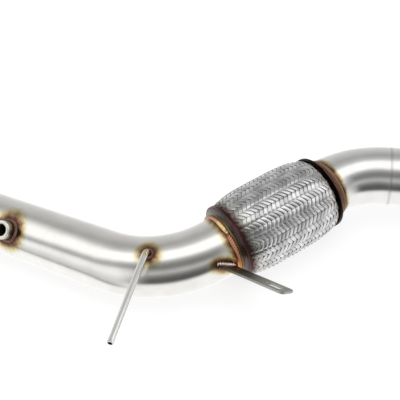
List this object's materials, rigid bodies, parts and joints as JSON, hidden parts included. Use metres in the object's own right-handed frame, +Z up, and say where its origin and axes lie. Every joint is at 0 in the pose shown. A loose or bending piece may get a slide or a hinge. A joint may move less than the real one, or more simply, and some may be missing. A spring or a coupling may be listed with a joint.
{
  "type": "exhaust downpipe",
  "caption": "Bent steel exhaust downpipe with a braided flex section, a sensor boss, a small pressure tube and a slotted strap bracket.",
  "frame": {"origin": "centre of the inlet pipe's open end", "axes": "+X over the inlet run towards the first bend, +Z up with the part lying at rest, outlet towards +Y"},
  "size_m": [0.551, 0.3743, 0.0922],
  "materials": {
    "polished_pipe": "polished stainless steel",
    "fitting_steel": "turned stainless steel",
    "bracket_steel": "dull rolled steel",
    "weld_metal": "heat-tinted weld bead",
    "cap_steel": "pressed stainless steel, heat tinted",
    "inner_steel": "plain stainless steel",
    "braid_wire": "bright braided stainless wire"
  },
  "bodies": {
    "root": {"inlet_pipe": "polished_pipe", "outlet_bend": "polished_pipe", "outlet_pipe": "polished_pipe", "sensor_boss": "fitting_steel", "pressure_tube": "fitting_steel", "strap_bracket": "bracket_steel", "sensor_boss_weld": "weld_metal", "pressure_tube_weld": "weld_metal", "strap_weld_upper": "weld_metal", "strap_weld_lower": "weld_metal", "flex_weld_inlet": "weld_metal", "flex_weld_outlet": "weld_metal", "outlet_butt_weld": "weld_metal", "flex_cap_inlet": "cap_steel", "flex_cap_outlet": "cap_steel", "flex_ring_inlet": "cap_steel", "flex_ring_outlet": "cap_steel", "flex_liner": "inner_steel", "flex_bellows": "inner_steel", "flex_braid": "braid_wire"}
  },
  "joints": []
}
